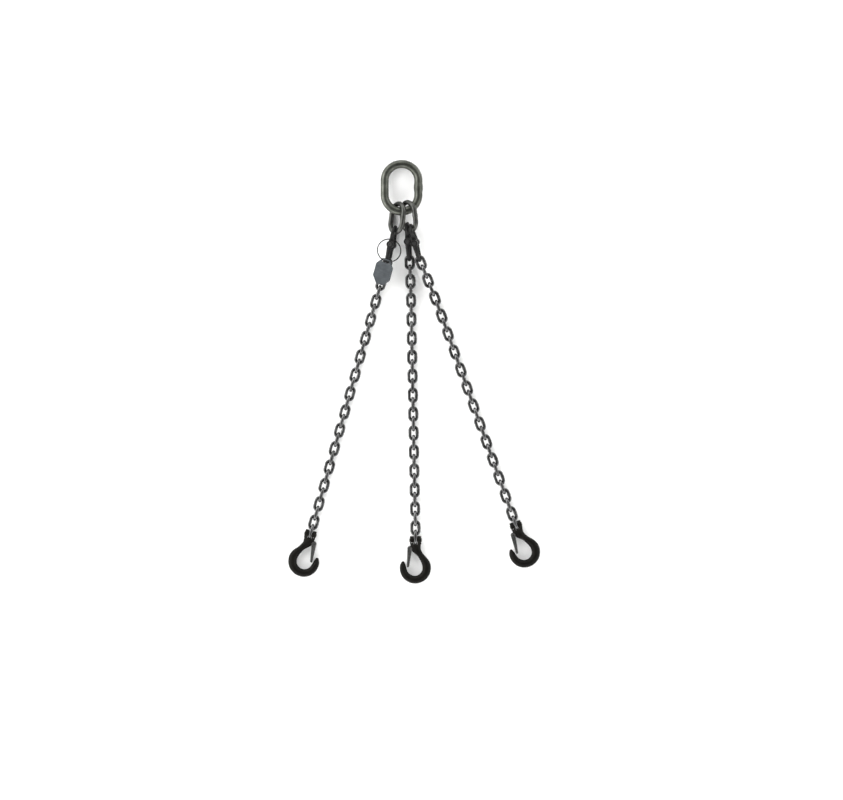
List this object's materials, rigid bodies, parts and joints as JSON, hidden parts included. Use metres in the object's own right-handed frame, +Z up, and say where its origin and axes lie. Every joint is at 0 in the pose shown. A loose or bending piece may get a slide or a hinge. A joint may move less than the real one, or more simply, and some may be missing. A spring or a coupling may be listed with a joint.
{
  "type": "chain sling",
  "caption": "Chain lifting sling laid out flat: an oval master link with intermediate links, coupling links, chain legs ending in clevis hooks with latches, and an identification tag.",
  "frame": {"origin": "middle of the footprint of the laid-out sling, on the surface that it lies on", "axes": "+Y from the hooks towards the master link, +X to the right seen from above, +Z up"},
  "size_m": [0.6424, 1.0813, 0.0612],
  "materials": {
    "master_steel": "satin",
    "intermediate_steel": "satin",
    "coupling_steel": "satin",
    "chain_steel": "gloss",
    "hook_steel": "satin",
    "pin_steel": "satin",
    "latch_steel": "satin",
    "spring_wire": "gloss",
    "ring_steel": "satin",
    "tag_plate": "matte"
  },
  "bodies": {
    "master": {"master_link": "master_steel"},
    "left_intermediate": {"left_intermediate_link": "intermediate_steel"},
    "right_intermediate": {"right_intermediate_link": "intermediate_steel"},
    "left_coupling_upper": {"left_coupling_upper_half": "coupling_steel", "left_coupling_pin": "pin_steel", "left_coupling_bush": "pin_steel"},
    "left_coupling_lower": {"left_coupling_lower_half": "coupling_steel"},
    "left_run_1": {"left_chain_run_1": "chain_steel"},
    "left_run_2": {"left_chain_run_2": "chain_steel"},
    "left_run_3": {"left_chain_run_3": "chain_steel"},
    "left_run_4": {"left_chain_run_4": "chain_steel"},
    "left_run_5": {"left_chain_run_5": "chain_steel"},
    "left_run_6": {"left_chain_run_6": "chain_steel"},
    "left_run_7": {"left_chain_run_7": "chain_steel"},
    "left_run_8": {"left_chain_run_8": "chain_steel"},
    "left_hook": {"left_hook_body": "hook_steel", "left_hook_load_pin": "pin_steel", "left_hook_roll_pin": "pin_steel", "left_latch_pin": "pin_steel"},
    "left_latch": {"left_hook_latch": "latch_steel", "left_latch_spring": "spring_wire"},
    "centre_coupling_upper": {"centre_coupling_upper_half": "coupling_steel", "centre_coupling_pin": "pin_steel", "centre_coupling_bush": "pin_steel"},
    "centre_coupling_lower": {"centre_coupling_lower_half": "coupling_steel"},
    "centre_run_1": {"centre_chain_run_1": "chain_steel"},
    "centre_run_2": {"centre_chain_run_2": "chain_steel"},
    "centre_run_3": {"centre_chain_run_3": "chain_steel"},
    "centre_run_4": {"centre_chain_run_4": "chain_steel"},
    "centre_run_5": {"centre_chain_run_5": "chain_steel"},
    "centre_run_6": {"centre_chain_run_6": "chain_steel"},
    "centre_run_7": {"centre_chain_run_7": "chain_steel"},
    "centre_run_8": {"centre_chain_run_8": "chain_steel"},
    "centre_hook": {"centre_hook_body": "hook_steel", "centre_hook_load_pin": "pin_steel", "centre_hook_roll_pin": "pin_steel", "centre_latch_pin": "pin_steel"},
    "centre_latch": {"centre_hook_latch": "latch_steel", "centre_latch_spring": "spring_wire"},
    "right_coupling_upper": {"right_coupling_upper_half": "coupling_steel", "right_coupling_pin": "pin_steel", "right_coupling_bush": "pin_steel"},
    "right_coupling_lower": {"right_coupling_lower_half": "coupling_steel"},
    "right_run_1": {"right_chain_run_1": "chain_steel"},
    "right_run_2": {"right_chain_run_2": "chain_steel"},
    "right_run_3": {"right_chain_run_3": "chain_steel"},
    "right_run_4": {"right_chain_run_4": "chain_steel"},
    "right_run_5": {"right_chain_run_5": "chain_steel"},
    "right_run_6": {"right_chain_run_6": "chain_steel"},
    "right_run_7": {"right_chain_run_7": "chain_steel"},
    "right_run_8": {"right_chain_run_8": "chain_steel"},
    "right_hook": {"right_hook_body": "hook_steel", "right_hook_load_pin": "pin_steel", "right_hook_roll_pin": "pin_steel", "right_latch_pin": "pin_steel"},
    "right_latch": {"right_hook_latch": "latch_steel", "right_latch_spring": "spring_wire"},
    "tag_ring": {"tag_ring": "ring_steel"},
    "tag": {"id_tag": "tag_plate"}
  },
  "joints": [
    {"name": "left_intermediate_swing", "type": "hinge", "parent": "master", "child": "left_intermediate", "pos_m": [-0.0417, 0.40309, 0.0276], "axis": [-0.8011, 0.1126, 0.5878], "range_deg": [0, 10]},
    {"name": "right_intermediate_swing", "type": "hinge", "parent": "master", "child": "right_intermediate", "pos_m": [-0.0153, 0.40631, 0.0301], "axis": [-0.757, -0.0929, 0.6468], "range_deg": [0, 38]},
    {"name": "left_coupling_swing", "type": "hinge", "parent": "left_intermediate", "child": "left_coupling_upper", "pos_m": [-0.05175, 0.35008, 0.02354], "axis": [-0.9558, 0.2224, -0.1925], "range_deg": [0, 35]},
    {"name": "left_coupling_turn", "type": "hinge", "parent": "left_coupling_upper", "child": "left_coupling_lower", "pos_m": [-0.05785, 0.32368, 0.0233], "axis": [-0.1895, 0.035, 0.9813], "range_deg": [-30, 9]},
    {"name": "left_run_1_bend", "type": "hinge", "parent": "left_coupling_lower", "child": "left_run_1", "pos_m": [-0.06394, 0.29728, 0.02306], "axis": [-0.9558, 0.2224, -0.1925], "range_deg": [-20, 1]},
    {"name": "left_run_2_turn", "type": "hinge", "parent": "left_run_1", "child": "left_run_2", "pos_m": [-0.08242, 0.23218, 0.01642], "axis": [-0.02, -0.0659, 0.9976], "range_deg": [-30, 15]},
    {"name": "left_run_3_bend", "type": "hinge", "parent": "left_run_2", "child": "left_run_3", "pos_m": [-0.10678, 0.1485, 0.0133], "axis": [0.9629, -0.2698, 0], "range_deg": [-45, 45]},
    {"name": "left_run_4_turn", "type": "hinge", "parent": "left_run_3", "child": "left_run_4", "pos_m": [-0.13586, 0.04469, 0.0133], "axis": [0, 0, -1], "range_deg": [-18, 30]},
    {"name": "left_run_5_bend", "type": "hinge", "parent": "left_run_4", "child": "left_run_5", "pos_m": [-0.15939, -0.03931, 0.0133], "axis": [-0.9629, 0.2698, 0], "range_deg": [-45, 45]},
    {"name": "left_run_6_turn", "type": "hinge", "parent": "left_run_5", "child": "left_run_6", "pos_m": [-0.18847, -0.14311, 0.0133], "axis": [0, 0, 1], "range_deg": [-30, 30]},
    {"name": "left_run_7_bend", "type": "hinge", "parent": "left_run_6", "child": "left_run_7", "pos_m": [-0.21201, -0.22712, 0.0133], "axis": [0.9629, -0.2698, 0], "range_deg": [-45, 45]},
    {"name": "left_run_8_turn", "type": "hinge", "parent": "left_run_7", "child": "left_run_8", "pos_m": [-0.24109, -0.33093, 0.0133], "axis": [0, 0, -1], "range_deg": [-30, 30]},
    {"name": "left_hook_swing", "type": "hinge", "parent": "left_run_8", "child": "left_hook", "pos_m": [-0.26465, -0.41503, 0.0133], "axis": [-0.9629, 0.2698, 0], "range_deg": [-60, 60]},
    {"name": "left_latch_open", "type": "hinge", "parent": "left_hook", "child": "left_latch", "pos_m": [-0.25538, -0.43941, 0.01235], "axis": [0.0122, 0.0437, -0.999], "range_deg": [0, 36], "stiffness_Nm_per_rad": 0.05, "springref_deg": -20.05},
    {"name": "centre_coupling_swing", "type": "hinge", "parent": "right_intermediate", "child": "centre_coupling_upper", "pos_m": [-0.01591, 0.35853, 0.0238], "axis": [-0.9863, -0.0517, -0.1564], "range_deg": [0, 35]},
    {"name": "centre_coupling_turn", "type": "hinge", "parent": "centre_coupling_upper", "child": "centre_coupling_lower", "pos_m": [-0.01449, 0.33146, 0.0238], "axis": [-0.1562, -0.0082, 0.9877], "range_deg": [-8, 3]},
    {"name": "centre_run_1_bend", "type": "hinge", "parent": "centre_coupling_lower", "child": "centre_run_1", "pos_m": [-0.01307, 0.3044, 0.0238], "axis": [-0.9863, -0.0517, -0.1564], "range_deg": [-30, 30]},
    {"name": "centre_run_2_turn", "type": "hinge", "parent": "centre_run_1", "child": "centre_run_2", "pos_m": [-0.00971, 0.23719, 0.01656], "axis": [0.0025, -0.0724, 0.9974], "range_deg": [-15, 12]},
    {"name": "centre_run_3_bend", "type": "hinge", "parent": "centre_run_2", "child": "centre_run_3", "pos_m": [-0.0074, 0.15061, 0.0133], "axis": [0.9998, 0.0192, 0], "range_deg": [-45, 45]},
    {"name": "centre_run_4_turn", "type": "hinge", "parent": "centre_run_3", "child": "centre_run_4", "pos_m": [-0.00534, 0.04373, 0.0133], "axis": [0, 0, -1], "range_deg": [-18, 18]},
    {"name": "centre_run_5_bend", "type": "hinge", "parent": "centre_run_4", "child": "centre_run_5", "pos_m": [-0.00368, -0.04295, 0.0133], "axis": [-0.9998, -0.0192, 0], "range_deg": [-45, 45]},
    {"name": "centre_run_6_turn", "type": "hinge", "parent": "centre_run_5", "child": "centre_run_6", "pos_m": [-0.00163, -0.14983, 0.0133], "axis": [0, 0, 1], "range_deg": [-30, 30]},
    {"name": "centre_run_7_bend", "type": "hinge", "parent": "centre_run_6", "child": "centre_run_7", "pos_m": [0.00004, -0.23652, 0.0133], "axis": [0.9998, 0.0192, 0], "range_deg": [-45, 45]},
    {"name": "centre_run_8_turn", "type": "hinge", "parent": "centre_run_7", "child": "centre_run_8", "pos_m": [0.00209, -0.3434, 0.0133], "axis": [0, 0, -1], "range_deg": [-30, 30]},
    {"name": "centre_hook_swing", "type": "hinge", "parent": "centre_run_8", "child": "centre_hook", "pos_m": [0.00375, -0.43018, 0.0133], "axis": [-0.9998, -0.0192, 0], "range_deg": [-60, 60]},
    {"name": "centre_latch_open", "type": "hinge", "parent": "centre_hook", "child": "centre_latch", "pos_m": [-0.01134, -0.45145, 0.01235], "axis": [0.0009, -0.0454, 0.999], "range_deg": [0, 36], "stiffness_Nm_per_rad": 0.05, "springref_deg": -20.05},
    {"name": "right_coupling_swing", "type": "hinge", "parent": "right_intermediate", "child": "right_coupling_upper", "pos_m": [-0.00388, 0.35415, 0.03828], "axis": [-0.959, -0.2367, -0.1561], "range_deg": [0, 30]},
    {"name": "right_coupling_turn", "type": "hinge", "parent": "right_coupling_upper", "child": "right_coupling_lower", "pos_m": [0.00289, 0.32797, 0.03639], "axis": [-0.1342, -0.1059, 0.9853], "range_deg": [-6, 30]},
    {"name": "right_run_1_bend", "type": "hinge", "parent": "right_coupling_lower", "child": "right_run_1", "pos_m": [0.00966, 0.3018, 0.0345], "axis": [-0.959, -0.2367, -0.1561], "range_deg": [-30, 30]},
    {"name": "right_run_2_turn", "type": "hinge", "parent": "right_run_1", "child": "right_run_2", "pos_m": [0.03297, 0.23916, 0.02247], "axis": [0.0491, -0.1233, 0.9912], "range_deg": [-15, 30]},
    {"name": "right_run_3_bend", "type": "hinge", "parent": "right_run_2", "child": "right_run_3", "pos_m": [0.06409, 0.15818, 0.01422], "axis": [0.9372, 0.3487, 0], "range_deg": [-45, 45]},
    {"name": "right_run_4_turn", "type": "hinge", "parent": "right_run_3", "child": "right_run_4", "pos_m": [0.10037, 0.05679, 0.0133], "axis": [0, 0, -1], "range_deg": [-30, 18]},
    {"name": "right_run_5_bend", "type": "hinge", "parent": "right_run_4", "child": "right_run_5", "pos_m": [0.12954, -0.02536, 0.0133], "axis": [-0.9423, -0.3346, 0], "range_deg": [-45, 45]},
    {"name": "right_run_6_turn", "type": "hinge", "parent": "right_run_5", "child": "right_run_6", "pos_m": [0.16558, -0.12685, 0.0133], "axis": [0, 0, 1], "range_deg": [-30, 30]},
    {"name": "right_run_7_bend", "type": "hinge", "parent": "right_run_6", "child": "right_run_7", "pos_m": [0.19475, -0.20901, 0.0133], "axis": [0.9423, 0.3346, 0], "range_deg": [-45, 45]},
    {"name": "right_run_8_turn", "type": "hinge", "parent": "right_run_7", "child": "right_run_8", "pos_m": [0.23079, -0.3105, 0.0133], "axis": [0, 0, -1], "range_deg": [-30, 30]},
    {"name": "right_hook_swing", "type": "hinge", "parent": "right_run_8", "child": "right_hook", "pos_m": [0.26, -0.39275, 0.0133], "axis": [-0.9423, -0.3346, 0], "range_deg": [-60, 60]},
    {"name": "right_latch_open", "type": "hinge", "parent": "right_hook", "child": "right_latch", "pos_m": [0.25241, -0.4177, 0.01235], "axis": [0.0152, -0.0427, 0.999], "range_deg": [0, 36], "stiffness_Nm_per_rad": 0.05, "springref_deg": -20.05},
    {"name": "tag_ring_lift", "type": "hinge", "parent": "left_coupling_upper", "child": "tag_ring", "pos_m": [-0.05563, 0.33647, 0.02707], "axis": [-0.9553, 0.2928, 0.0408], "range_deg": [0, 50]},
    {"name": "tag_swing", "type": "hinge", "parent": "tag_ring", "child": "tag", "pos_m": [-0.07186, 0.28118, 0.04378], "axis": [-0.9553, 0.2928, 0.0408], "range_deg": [-4, 12]}
  ]
}
